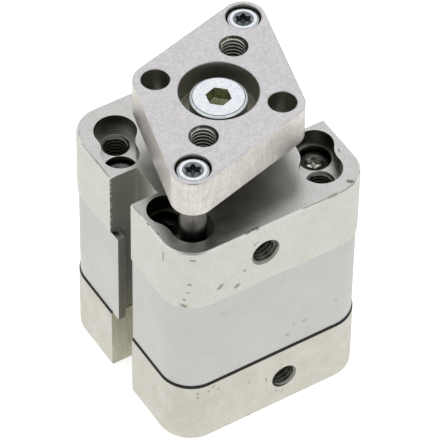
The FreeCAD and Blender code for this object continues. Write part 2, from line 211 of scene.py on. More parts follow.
class Effects:
    """Shader node groups that the finishes share, each built once; noise scales are per metre."""

    # Scale of the noise that breaks up the edge mask, which marks worn metal and also painted highlights and
    # painted shade along edges.
    EDGE_BREAK_SCALE = 900.0
    LINE_MARK_SCALE = 4000.0
    LINE_MARK_REACH = 4.0

    def __init__(self) -> None:
        number, place = "NodeSocketFloat", "NodeSocketVector"
        scales = {"Speckle Scale": number, "Mottle Scale": number}
        line = {"Start": place, "End": place, "Width": number}
        self.grain = self._group("metal_grain", self._grain, scales, "Speckle", "Mottle")
        self.strokes = self._group("strokes_and_painted_streaks", self._strokes, {"Stretch": place}, "Stroke")
        self.wear_and_edge_light = self._group("edge_wear_and_painted_light", self._wear_and_edge_light, {"Reach": number}, "Mask")
        self.line_mark = self._group("line_mark", self._line_mark, line, "Mask")

    @staticmethod
    def _group(name: str, draw: Callable, inputs: dict[str, str], *outputs: str) -> bpy.types.NodeTree:
        """Builds a node group.

        Args:
            name: The group's name.
            draw: Draws the group from its graph and its inputs, and returns what it gives out.
            inputs: Socket type of each input.
            *outputs: Names of the numbers that it gives out.

        Returns:
            The group's tree.
        """
        tree = bpy.data.node_groups.new(name, "ShaderNodeTree")
        for label, kind in inputs.items():
            tree.interface.new_socket(label, in_out="INPUT", socket_type=kind)
        for label in outputs:
            tree.interface.new_socket(label, in_out="OUTPUT", socket_type="NodeSocketFloat")
        graph = Graph(tree)
        drawn = draw(graph, graph.node("NodeGroupInput").outputs)
        graph.node("NodeGroupOutput", dict(zip(outputs, drawn)))
        return tree

    @staticmethod
    def _grain(graph: Graph, given: Sockets) -> tuple[Output, Output]:
        """Fine speckle and broad mottling, each from 0 to 1."""
        place = graph.place()
        speckle = graph.noise(place, given["Speckle Scale"], detail=3.0)
        mottle = graph.noise(place, given["Mottle Scale"], detail=4.0)
        return graph.ramp(speckle, 0.25, 0.75), graph.ramp(mottle, 0.3, 0.7)

    @staticmethod
    def _strokes(graph: Graph, given: Sockets) -> tuple[Output]:
        """Long thin marks that run where the stretch is small."""
        stretched = graph.vector("MULTIPLY", graph.place(), given["Stretch"])
        return (graph.ramp(graph.noise(stretched, 1.0, detail=3.0), 0.3, 0.7),)

    def _wear_and_edge_light(self, graph: Graph, given: Sockets) -> tuple[Output]:
        """Mask of edges, which take the finish's edge colour: partly metal worn by handling, partly painted
        highlight and painted shade along edges.
        """
        rounded = graph.node("ShaderNodeBevel", {"Radius": given["Reach"]}, samples=4).outputs["Normal"]
        normal = graph.node("ShaderNodeNewGeometry").outputs["Normal"]
        bend = graph.math("SUBTRACT", 1.0, graph.vector("DOT_PRODUCT", rounded, normal))
        broken = graph.ramp(graph.noise(graph.place(), self.EDGE_BREAK_SCALE, detail=3.0), 0.35, 0.6)
        return (graph.math("MULTIPLY", graph.ramp(bend, 0.01, 0.1), broken),)

    def _line_mark(self, graph: Graph, given: Sockets) -> tuple[Output]:
        """Mask of one small mark along a line from Start to End: a dent, and at the lip's corner a painted
        shadow.
        """
        along = graph.vector("SUBTRACT", given["End"], given["Start"])
        away = graph.vector("SUBTRACT", graph.place(), given["Start"])
        square = graph.vector("DOT_PRODUCT", along, along)
        share = graph.math("DIVIDE", graph.vector("DOT_PRODUCT", away, along), square)
        held = graph.math("MINIMUM", graph.math("MAXIMUM", share, 0.0), 1.0)
        distance = graph.vector("DISTANCE", away, graph.scaled(along, held))
        noise = graph.noise(graph.place(), self.LINE_MARK_SCALE, detail=2.0)
        ragged = graph.math("MULTIPLY", noise, given["Width"])
        reach = graph.math("MULTIPLY", ragged, self.LINE_MARK_REACH)
        depth = graph.math("SUBTRACT", 1.0, graph.math("DIVIDE", distance, reach))
        return (graph.ramp(depth, 0.0, 0.9),)


@dataclass(frozen=True)
class LineMark:
    """A small mark on a face along a short line, in millimetres: a dent, and at the lip's corner a painted
    shadow.
    """

    start: Point
    end: Point
    width: float


def level_nicks(z: float, *marks: tuple[float, ...]) -> tuple[LineMark, ...]:
    """Dents at one height, each given as x and y of both ends and its width, in millimetres."""
    return tuple(LineMark((x, y, z), (x_end, y_end, z), width) for x, y, x_end, y_end, width in marks)


def side_nicks(y: float, *marks: tuple[float, ...]) -> tuple[LineMark, ...]:
    """Dents in the side with the ports, each given as x and z of both ends and its width, in millimetres."""
    return tuple(LineMark((x, y, z), (x_end, y, z_end), width) for x, z, x_end, z_end, width in marks)


@dataclass(frozen=True)
class Finish:
    """A worked metal surface, or a moulded one where metallic is 0."""

    name: str
    base: Colour
    patches: Colour
    roughness: float
    rough_spread: float = 0.03
    metallic: float = 1.0
    speckle: float = 0.1
    speckle_mm: float = 0.3
    mottle_mm: float = 6.0
    marks: Marks = Marks.NONE
    stroke: float = 0.05
    # How far edges take the edge colour: partly worn metal, partly painted highlight and painted shade along
    # edges.
    wear_and_edge_light: float = 0.1
    reach_mm: float = 0.25
    edge: Colour = (1.0, 1.0, 1.0)
    # Small marks, each a dent, and at the lip's corner a painted shadow, with their colour and depth.
    nicks_and_shadows: tuple[LineMark, ...] = ()
    nick_and_shadow_colour: Colour = (0.55, 0.55, 0.5)
    line_mark_depth: float = 4.0
    bump: float = 0.05
    bump_mm: float = 0.02

    def material(self, effects: Effects) -> bpy.types.Material:
        """Builds the finish as a node material.

        Args:
            effects: The shared node groups.

        Returns:
            The material.
        """
        made = bpy.data.materials.new(self.name)
        made.use_nodes = True
        graph = Graph(made.node_tree)
        grain = graph.group(effects.grain, {
            "Speckle Scale": 1.0 / (self.speckle_mm * MM), "Mottle Scale": 1.0 / (self.mottle_mm * MM)})
        height = grain["Speckle"]
        tone = graph.spread(height, 1.0, self.speckle)
        if self.marks is not Marks.NONE:
            stroke = graph.group(effects.strokes, {"Stretch": self.marks.value})["Stroke"]
            tone = graph.math("MULTIPLY", tone, graph.spread(stroke, 1.0, self.stroke))
            height = graph.math("ADD", height, stroke)
        colour = graph.mix(grain["Mottle"], linear(self.base), linear(self.patches))
        colour = graph.scaled(colour, tone)
        # Edges take the edge colour: worn metal, and painted highlights and painted shade lines along edges.
        if self.wear_and_edge_light:
            edges = graph.group(effects.wear_and_edge_light, {"Reach": self.reach_mm * MM})["Mask"]
            colour = graph.mix(graph.math("MULTIPLY", edges, self.wear_and_edge_light), colour, linear(self.edge))
        # Small marks along lines, each a dent, and at the lip's corner a painted shadow.
        masks = [graph.group(effects.line_mark, {
            "Start": millimetres(line_mark.start), "End": millimetres(line_mark.end), "Width": line_mark.width * MM,
        })["Mask"] for line_mark in self.nicks_and_shadows]
        if masks:
            dents_and_shadows = reduce(lambda first, second: graph.math("MAXIMUM", first, second), masks)
            colour = graph.mix(dents_and_shadows, colour, linear(self.nick_and_shadow_colour))
            height = graph.math("SUBTRACT", height, graph.math("MULTIPLY", dents_and_shadows, self.line_mark_depth))
        uneven = grain["Mottle" if self.metallic else "Speckle"]
        relief = {"Strength": self.bump, "Distance": self.bump_mm * MM, "Height": height}
        graph.feed(made.node_tree.nodes["Principled BSDF"], {
            "Base Color": colour, "Metallic": self.metallic,
            "Roughness": graph.spread(uneven, self.roughness, self.rough_spread),
            "Normal": graph.node("ShaderNodeBump", relief).outputs["Normal"]})
        return made


def moulded(name: str, base: Colour, patches: Colour, roughness: float) -> Finish:
    """A rubber or plastic surface with a fine grain and plain edges."""
    return Finish(name, base, patches, roughness, rough_spread=0.05, metallic=0.0, speckle=0.0,
                  speckle_mm=0.15, mottle_mm=3.0, wear_and_edge_light=0.0, bump=0.2)


SIDE_Y = -19.75
BARREL_SIDE_Y = -19.5
TOP_EDGE_Z = 49.1
TOP_Z = 49.2
TOP_EDGE_NICKS = level_nicks(
    TOP_EDGE_Z, (5.1, -19.5, 13.4, -19.6, 0.09), (10.3, -19.6, 11.9, -19.6, 0.2),
    (13.4, -19.6, 15.9, -19.05, 0.12), (15.9, -19.05, 18.4, -17.0, 0.08), (-19.5, 13.3, -19.5, 3.9, 0.09),
    (-19.5, 9.0, -19.5, 4.4, 0.13),
    (-18.9, 15.3, -18.5, 16.2, 0.09), (-19.5, -4.0, -19.5, -6.4, 0.1), (-19.5, -8.6, -19.5, -9.1, 0.13),
) + level_nicks(
    TOP_Z, (15.3, -18.2, 15.8, -18.6, 0.3), (-6.3, -19.5, -5.6, -19.4, 0.2), (-5.0, -19.3, -4.8, -19.3, 0.22),
    (-4.3, -19.4, -4.1, -19.4, 0.28), (18.0, -10.8, 17.8, -11.5, 0.1), (-19.2, -11.6, -19.2, -11.8, 0.12))
FRONT_NICKS = side_nicks(
    SIDE_Y, (-11.5, 39.1, -11.2, 39.1, 0.28), (-11.95, 38.7, -11.6, 38.7, 0.28),
    (-8.35, 37.0, -7.9, 37.3, 0.32), (-4.8, 45.6, -4.55, 45.7, 0.16), (-4.2, 45.9, -4.0, 46.0, 0.14),
    (-6.8, 40.3, -6.6, 40.2, 0.18))
FRONT_CORNER_NICKS = (
    LineMark((-19.68, -14.16, 47.0), (-19.68, -14.17, 45.1), 0.16),
    LineMark((-16.9, -18.65, 47.6), (-16.4, -18.95, 47.5), 0.2),
    LineMark((-17.2, -18.44, 41.4), (-16.85, -18.7, 41.5), 0.18),
    LineMark((-17.3, -18.36, 39.3), (-17.15, -18.46, 39.4), 0.15),
    LineMark((-17.85, -17.9, 37.5), (-17.65, -18.07, 37.4), 0.18),
    LineMark((-18.0, -17.74, 36.0), (-17.6, -18.12, 35.8), 0.32))
REAR_NICKS = side_nicks(
    SIDE_Y, (-12.8, 13.0, -12.4, 13.0, 0.14), (-13.6, 12.3, -13.5, 12.3, 0.13),
    (-11.6, 11.8, -11.5, 11.7, 0.12), (-5.2, 9.5, -5.1, 9.5, 0.12), (-5.0, 0.5, -4.9, 0.3, 0.16),
    (0.7, 3.7, 0.8, 3.7, 0.14), (2.1, 2.9, 2.2, 2.9, 0.11), (-1.5, 8.6, -1.4, 7.7, 0.1),
    (-1.3, 5.1, -1.2, 5.1, 0.1), (1.6, 10.5, 1.7, 10.5, 0.12))
REAR_CORNER_NICKS = (
    LineMark((-15.7, -19.27, 12.4), (-15.5, -19.34, 12.5), 0.14),
    LineMark((-15.65, -19.3, 11.3), (-15.5, -19.36, 11.4), 0.14),
    LineMark((-19.75, -11.6, 9.1), (-19.75, -11.5, 9.0), 0.12))
BARREL_NICKS = side_nicks(
    BARREL_SIDE_Y, (6.2, 19.3, 6.8, 19.3, 0.24), (4.1, 19.6, 4.25, 19.7, 0.2), (2.7, 17.5, 3.05, 17.4, 0.26),
    (12.8, 21.0, 13.2, 20.9, 0.16), (-11.0, 31.4, -10.0, 31.3, 0.1))
SLOT_EDGE_DENTS = tuple(
    LineMark((-19.75, 3.75, z), (-19.6, 3.75, z - 0.3), 0.24)
    for z in (48.3, 47.2, 46.3, 45.0, 43.1, 42.2, 40.4, 39.0, 37.1))
# A near-black mark in the corner of the barrel's lip paints the shadow that falls there.
LIP_CORNER_SHADOW = LineMark((-19.3, 3.3, 35.4), (-18.9, 2.9, 35.4), 0.5)

# Its pale edges are partly worn metal, partly painted highlight.
FRONT_COVER = Finish(
    "cover_milled_front", (0.86, 0.86, 0.842), (0.846, 0.85, 0.816), 0.36, speckle=0.05, speckle_mm=0.5,
    wear_and_edge_light=0.6, reach_mm=0.3, mottle_mm=3.0, edge=(0.97, 0.97, 0.95), nick_and_shadow_colour=(0.6, 0.6, 0.55),
    nicks_and_shadows=TOP_EDGE_NICKS + FRONT_NICKS + FRONT_CORNER_NICKS)
# Its edges go darker as painted shade along them.
REAR_COVER = Finish(
    "cover_milled_rear", (0.85, 0.846, 0.812), (0.828, 0.814, 0.768), 0.38, speckle=0.06, speckle_mm=0.5,
    wear_and_edge_light=0.3, mottle_mm=4.0, edge=(0.7, 0.71, 0.65), nicks_and_shadows=REAR_NICKS + REAR_CORNER_NICKS)
BARREL = Finish(
    "barrel_drawn", (0.816, 0.813, 0.804), (0.806, 0.804, 0.795), 0.34, speckle=0.02, speckle_mm=0.8,
    mottle_mm=8.0, wear_and_edge_light=0.2, nick_and_shadow_colour=(0.7, 0.7, 0.68), nicks_and_shadows=BARREL_NICKS)
# End faces and pocket floors are a little darker than the sides as painted shade, and their pale rims are a
# painted highlight.
COVER_END = Finish(
    "cover_end_milled_painted_shade", (0.8, 0.8, 0.796), (0.78, 0.78, 0.77), 0.34, speckle_mm=0.4,
    mottle_mm=2.0, wear_and_edge_light=0.7, reach_mm=0.3, edge=(0.95, 0.95, 0.93), nick_and_shadow_colour=(0.42, 0.42, 0.4),
    nicks_and_shadows=TOP_EDGE_NICKS)
# The top's edges go dark grey as a painted line of shade along them.
PLATE_TOP = Finish(
    "plate_satin_painted_edge_shade", (0.822, 0.808, 0.82), (0.802, 0.797, 0.797), 0.34, speckle=0.12, speckle_mm=0.45,
    mottle_mm=2.0, wear_and_edge_light=0.9, reach_mm=0.3, edge=(0.4, 0.39, 0.38))
# The flanks are lighter than the top as painted light; the upright strokes are milling marks.
PLATE_FLANK = Finish(
    "plate_milled", (0.928, 0.911, 0.893), (0.872, 0.855, 0.832), 0.36, speckle=0.12, speckle_mm=0.45,
    mottle_mm=1.8, marks=Marks.UPRIGHT, stroke=0.07, wear_and_edge_light=0.2)
# The underside is darker and warmer than the top as painted shade, which also darkens its reflection in the
# cover below.
PLATE_UNDER = Finish(
    "plate_underside_painted_shade", (0.57, 0.56, 0.49), (0.53, 0.52, 0.45), 0.4, speckle_mm=0.4, mottle_mm=2.0)
# Slot walls are darker than the skin as painted shade; their pale edges are burrs and also a painted
# highlight in the inner corner, and the pale marks are burrs.
SLOT = Finish(
    "slot_painted_shade", (0.63, 0.625, 0.595), (0.6, 0.595, 0.56), 0.5, metallic=0.7, speckle=0.08, speckle_mm=0.5,
    wear_and_edge_light=0.7, reach_mm=0.35, edge=(0.92, 0.92, 0.88), nick_and_shadow_colour=(0.95, 0.95, 0.9), nicks_and_shadows=SLOT_EDGE_DENTS)
# The rear cover's slot walls carry upright streaks that paint streaks of reflection.
SLOT_PALE = Finish(
    "slot_rear_milled_painted_streaks", (0.8, 0.795, 0.72), (0.77, 0.77, 0.68), 0.5, metallic=0.4, speckle=0.08,
    speckle_mm=0.5, marks=Marks.UPRIGHT, stroke=0.09, wear_and_edge_light=0.3)
# Walls of holes and cuts, and the pocket floors beside the guide rods, are darker than the skin as painted
# shade in the recesses.
BORE = Finish("bore_painted_shade", (0.47, 0.47, 0.43), (0.44, 0.44, 0.4), 0.34, speckle=0.06, wear_and_edge_light=0.3)
# The plate's holes are darker than its top as painted shade, and their pale edges paint highlights on the
# rims and where walls meet floors.
PLATE_BORE = Finish(
    "plate_bore_painted_shade", (0.64, 0.635, 0.59), (0.6, 0.595, 0.55), 0.4, speckle=0.08, wear_and_edge_light=0.7, reach_mm=0.3)
# The barrel's ends are darker than its skin, like the slot walls, as painted shade; the near-black mark
# paints the shadow in the lip's corner.
LIP_END = Finish(
    "lip_end_painted_shade", (0.6, 0.6, 0.57), (0.56, 0.56, 0.52), 0.5, metallic=0.4,
    nick_and_shadow_colour=(0.12, 0.12, 0.1), nicks_and_shadows=(LIP_CORNER_SHADOW,))
# Thread grooves are near-black as painted shade, and the plate's thread crests are near-white and hardly
# metallic as a painted highlight.
THREAD = Finish("thread_groove_painted_shade", (0.3, 0.295, 0.27), (0.26, 0.255, 0.23), 0.35, speckle=0.05, wear_and_edge_light=0.0)
CREST = Finish("thread_crest", (0.96, 0.96, 0.94), (0.92, 0.92, 0.89), 0.5, metallic=0.1, speckle=0.06)
# The covers' thread cores and port mouths are darker than the skin as painted shade in the holes.
COVER_CREST = Finish(
    "cover_thread_crest_painted_shade", (0.6, 0.6, 0.57), (0.54, 0.54, 0.5), 0.45, metallic=0.3, speckle=0.08)
# Countersinks are darker than the end face as painted shade, with pale rims as a painted highlight.
SINK = Finish("countersunk", (0.5, 0.5, 0.48), (0.46, 0.46, 0.44), 0.4, metallic=0.3, speckle=0.08, wear_and_edge_light=1.0)
# Copies of one zinc plating, one per face of a head: the side, the dish and the drives are darker as painted
# shade, and the edge is lighter and less metallic as a painted highlight.
ZINC = Finish(
    "zinc_bright", (0.94, 0.945, 0.96), (0.88, 0.892, 0.925), 0.2, speckle=0.05, mottle_mm=0.8, wear_and_edge_light=0.2)
ZINC_SIDE = Finish("zinc_side_painted_shade", (0.8, 0.83, 0.85), (0.72, 0.75, 0.77), 0.22, speckle=0.06, mottle_mm=1.0)
ZINC_EDGE = Finish(
    "zinc_edge_painted_highlight", (0.9, 0.92, 0.93), (0.82, 0.85, 0.86), 0.3, metallic=0.3, speckle=0.06, mottle_mm=1.0)
ZINC_DISH = Finish("zinc_dish_painted_shade", (0.5, 0.53, 0.54), (0.44, 0.47, 0.48), 0.22, speckle=0.06, mottle_mm=1.0)
DRIVE = Finish("drive_painted_shade", (0.74, 0.75, 0.66), (0.58, 0.6, 0.5), 0.28, mottle_mm=0.8, wear_and_edge_light=0.2)
DRIVE_GREY = Finish("drive_grey_painted_shade", (0.52, 0.55, 0.56), (0.42, 0.45, 0.46), 0.28, mottle_mm=0.8)
DULL_HEAD = Finish("zinc_dull", (0.38, 0.39, 0.38), (0.32, 0.33, 0.31), 0.3, mottle_mm=0.8)
DULL_SIDE = Finish("zinc_dull_side", (0.4, 0.41, 0.4), (0.34, 0.35, 0.33), 0.3, mottle_mm=0.8)
# Near-black for the whole screws beside the guide rods, as painted shade in those pockets.
SHADED_SCREW = Finish("screw_painted_shade", (0.15, 0.15, 0.14), (0.11, 0.11, 0.1), 0.4, mottle_mm=0.8)
# Drives lighter than the dark heads of the cover screws, as painted glints in their sockets.
GLINT_DRIVE = Finish(
    "drive_painted_glint", (0.86, 0.87, 0.84), (0.78, 0.79, 0.75), 0.2, speckle=0.08, mottle_mm=0.8)
# Upright streaks on the ground rods paint bands of reflection down their length.
GROUND = Finish(
    "rod_ground_painted_streaks", (0.51, 0.5, 0.48), (0.47, 0.46, 0.44), 0.3, speckle=0.03, marks=Marks.UPRIGHT, stroke=0.2)
TURNED = Finish("piston_turned", (0.78, 0.78, 0.77), (0.76, 0.76, 0.75), 0.3, speckle=0.03, marks=Marks.RINGS)
BRONZE = Finish("bush_bronze", (0.7, 0.55, 0.36), (0.62, 0.46, 0.28), 0.42, speckle=0.12)
RUBBER = moulded("seal_rubber", (0.06, 0.055, 0.048), (0.085, 0.078, 0.068), 0.7)
DUSTY_RUBBER = moulded("seal_dusty", (0.46, 0.45, 0.41), (0.52, 0.51, 0.46), 0.8)
POLYMER = moulded("ring_polymer", (0.16, 0.15, 0.14), (0.2, 0.19, 0.17), 0.5)
MAGNET = moulded("magnet_composite", (0.11, 0.11, 0.11), (0.15, 0.145, 0.14), 0.55)


def add_object(name: str, data: bpy.types.ID) -> bpy.types.Object:
    """Adds an object with its data to the scene, at the origin."""
    made = bpy.data.objects.new(name, data)
    bpy.context.scene.collection.objects.link(made)
    return made


def mesh_of(shape: Shape, name: str) -> bpy.types.Mesh:
    """Turns a shape into a mesh and frees the shape."""
    mesh = bpy.data.meshes.new(name)
    shape.to_mesh(mesh)
    shape.free()
    return mesh


def joined(shapes: Iterable[Shape]) -> Shape:
    """Joins several shapes into one and frees them."""
    whole = bmesh.new()
    for shape in shapes:
        part = mesh_of(shape, "part")
        whole.from_mesh(part)
        bpy.data.meshes.remove(part)
    return whole


def paint(shape: Shape, wall: Wall) -> None:
    """Gives all faces of a shape one wall's material index."""
    for face in shape.faces:
        face.material_index = wall.value


def turned_to(out: Vector, place: Vector) -> Matrix:
    """Turns what looks up from the origin to another direction, and moves it to a place in metres."""
    return Matrix.Translation(place) @ UP.rotation_difference(out).to_matrix().to_4x4()


def revolved(profile: Iterable[tuple[float, float]], steps: int, climb: float = 0.0) -> Shape:
    """Turns a profile once round the z axis.

    Args:
        profile: Radius and height of its points, in millimetres.
        steps: How many steps the turn takes.
        climb: How far it rises in the turn, in millimetres.

    Returns:
        The shape.
    """
    shape = bmesh.new()
    chain = [shape.verts.new((r * MM, 0, z * MM)) for r, z in profile]
    edges = [shape.edges.new(pair) for pair in zip(chain, chain[1:])]
    bmesh.ops.spin(shape, geom=chain + edges, cent=(0, 0, 0), axis=UP, dvec=UP * (climb * MM / steps),
                   angle=2 * math.pi, steps=steps, use_merge=climb == 0.0, use_duplicate=False)
    return shape


def box_mm(node: str) -> Box:
    """Lowest and highest corner of a node, in millimetres."""
    low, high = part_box(node)
    return low / MM, high / MM


def mount(name: str) -> dict:
    """Gives one of the record's mounts by name."""
    return next(m for m in frame["record"]["mounts"] if m["name"] == name)


def mount_place(name: str) -> Vector:
    """A mount's place in millimetres."""
    return Vector(mount(name)["pos_m"]) / MM


def node_copy(node: str, wall_of: Callable[[Vector, Vector], Wall], edge_mm: float = 0.08) -> Shape:
    """Copies a node's mesh with its triangles merged into faces and its sharp edges rounded.

    Args:
        node: The node's name.
        wall_of: Names the wall of a face from its centre in millimetres and its normal.
        edge_mm: How far the rounding of a sharp edge reaches.

    Returns:
        The copy, each face with the material index of its wall.
    """
    flat, sharp = math.radians(0.5), math.radians(30)
    shape = bmesh.new()
    shape.from_mesh(frame["nodes"][node].data)
    bmesh.ops.remove_doubles(shape, verts=shape.verts, dist=WELD)
    bmesh.ops.dissolve_limit(shape, angle_limit=flat, verts=shape.verts, edges=shape.edges)
    edges = [e for e in shape.edges if e.calc_face_angle(0.0) > sharp]
    bmesh.ops.bevel(shape, geom=edges, offset=edge_mm * MM, offset_type="OFFSET", affect="EDGES", segments=2,
                    profile=0.5, material=-1, clamp_overlap=True)
    for face in shape.faces:
        face.material_index = wall_of(face.calc_center_median() / MM, face.normal).value
    return shape


def depth_inside(centre: Vector, half: float, corner_r: float) -> float:
    """How deep a point lies inside a square with rounded corners.

    Args:
        centre: The point, in millimetres.
        half: Half the square's side.
        corner_r: Radius of its corners.

    Returns:
        The depth, in millimetres, 0 on the outline.
    """
    across, along = abs(centre.x) - half + corner_r, abs(centre.y) - half + corner_r
    return corner_r - math.hypot(max(across, 0), max(along, 0)) - min(max(across, along), 0)


def cut_away(piece: bpy.types.Object, cutters: Iterable[Shape], wall: Wall = Wall.BORE) -> None:
    """Cuts shapes out of a piece's mesh for good.

    Args:
        piece: The piece.
        cutters: Closed shapes, which are freed.
        wall: The wall that the cuts leave.
    """
    whole = joined(cutters)
    paint(whole, wall)
    tool = add_object("cutter", mesh_of(whole, "cutter"))
    cut = piece.modifiers.new("cut", "BOOLEAN")
    cut.operation = "DIFFERENCE"
    cut.solver = "MANIFOLD"
    cut.object = tool
    shown = bpy.context.evaluated_depsgraph_get()
    before, spent = piece.data, tool.data
    piece.data = bpy.data.meshes.new_from_object(piece.evaluated_get(shown))
    piece.modifiers.clear()
    piece.data.name = before.name
    bpy.data.meshes.remove(before)
    bpy.data.objects.remove(tool)
    bpy.data.meshes.remove(spent)


class Shop:
    """Makes pieces and finishes, and hands each finished piece to its body."""

    def __init__(self) -> None:
        self.effects = Effects()
        self._materials: dict[str, bpy.types.Material] = {}

    def material(self, finish: Finish) -> bpy.types.Material:
        """Gives the finish's material, built when it is first asked for."""
        if finish.name not in self._materials:
            self._materials[finish.name] = finish.material(self.effects)
        return self._materials[finish.name]

    def piece(self, shape: Shape, name: str, *finishes: Finish) -> bpy.types.Object:
        """Makes an object of a mesh.

        Args:
            shape: The mesh, in metres; it is freed.
            name: The object's name.
            *finishes: Its finishes, in the order of the faces' material index.

        Returns:
            The object, at the origin.
        """
        made = add_object(name, mesh_of(shape, name))
        for finish in finishes:
            made.data.materials.append(self.material(finish))
        return made

    @staticmethod
    def hand_over(piece: bpy.types.Object, body: Body, slot: str, node: str, sharp: float = 40.0) -> None:
        """Shades a piece smoothly with flat faces kept flat, and gives it its body.

        Args:
            piece: The finished piece.
            body: The body that carries it.
            slot: The record's material slot; not used.
            node: The node that it stands for.
            sharp: The least angle of an edge that stays sharp, in degrees.
        """
        piece.data.shade_smooth()
        piece.data.set_sharp_from_angle(angle=math.radians(sharp))
        even = piece.modifiers.new("even_normals", "WEIGHTED_NORMAL")
        even.keep_sharp = True
        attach(piece, body.value)
        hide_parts(node)
        LOG.info("%s: %d faces, on %s", piece.name, len(piece.data.polygons), body.value)


@dataclass(frozen=True)
class Tap:
    """A metric thread's tap, in millimetres."""

    core_d: float = 4.2
    outer_d: float = 5.0
    pitch: float = 0.8
    root_flat: float = 0.1
    crest_flat: float = 0.22
    inside: float = 0.05
    start: float = 0.05
    core_room: float = 0.05
    mouth_room: float = 0.1
    steps: int = 36

    def on_core(self, aside: float) -> bool:
        """True as near to the hole's axis as the wall of its core."""
        return aside < self.core_d / 2 + self.core_room

    def in_mouth(self, aside: float) -> bool:
        """True as near to the hole's axis as its mouth."""
        return aside < self.outer_d / 2 + self.mouth_room

    def cutter(self, mouth: Vector, out: Vector, depth: float) -> Shape:
        """Makes the closed shape that cuts a thread's groove into a hole's wall.

        Args:
            mouth: The hole's mouth on its axis, in millimetres.
            out: The direction out of the hole.
            depth: How far down the thread goes.

        Returns:
            The shape, in place.
        """
        r_in, r_out = self.core_d / 2 - self.inside, self.outer_d / 2
        flank = (self.pitch - self.root_flat - self.crest_flat) / 2
        rise = flank + self.root_flat
        ridge = ((r_in, 0.0), (r_out, flank), (r_out, rise), (r_in, rise + flank))
        length = depth - self.start
        turns = range(-1, math.ceil(length / self.pitch) + 1)
        profile = [(r, z + turn * self.pitch) for turn in turns for r, z in ridge]
        shape = revolved(profile, self.steps, climb=self.pitch)
        bmesh.ops.remove_doubles(shape, verts=shape.verts, dist=2 * WELD)
        for height, side in ((0.0, -1), (length * MM, 1)):
            everything = shape.verts[:] + shape.edges[:] + shape.faces[:]
            bmesh.ops.bisect_plane(shape, geom=everything, plane_co=UP * height, plane_no=UP * side,
                                   clear_outer=True)
            rim = [e for e in shape.edges if e.is_boundary and all(
                abs(v.co.z - height) < WELD for v in e.verts)]
            bmesh.ops.holes_fill(shape, edges=rim, sides=0)
        bmesh.ops.recalc_face_normals(shape, faces=shape.faces)
        bmesh.ops.transform(shape, matrix=turned_to(out, (mouth - out * depth) * MM), verts=shape.verts)
        return shape


M5_TAP = Tap()


@dataclass(frozen=True)
class SensorSlot:
    """Where the sensor slots lie in the body, in millimetres."""

    half_w: float = 3.75
    back: float = 14.35
    room: float = 0.05

    def wall(self, centre: Vector, normal: Vector) -> Wall | None:
        """Names a slot's wall.

        Args:
            centre: The face's centre, in millimetres.
            normal: The face's normal.

        Returns:
            The wall, with a slot's back as bright as the skin, or None outside the slots.
        """
        if abs(centre.y) > self.half_w or abs(centre.x) < self.back - self.room:
            return None
        at_back = abs(normal.x) > FLAT and abs(centre.x) < self.back + self.room
        return Wall.SKIN if at_back else Wall.FLANK


SENSOR_SLOT = SensorSlot()


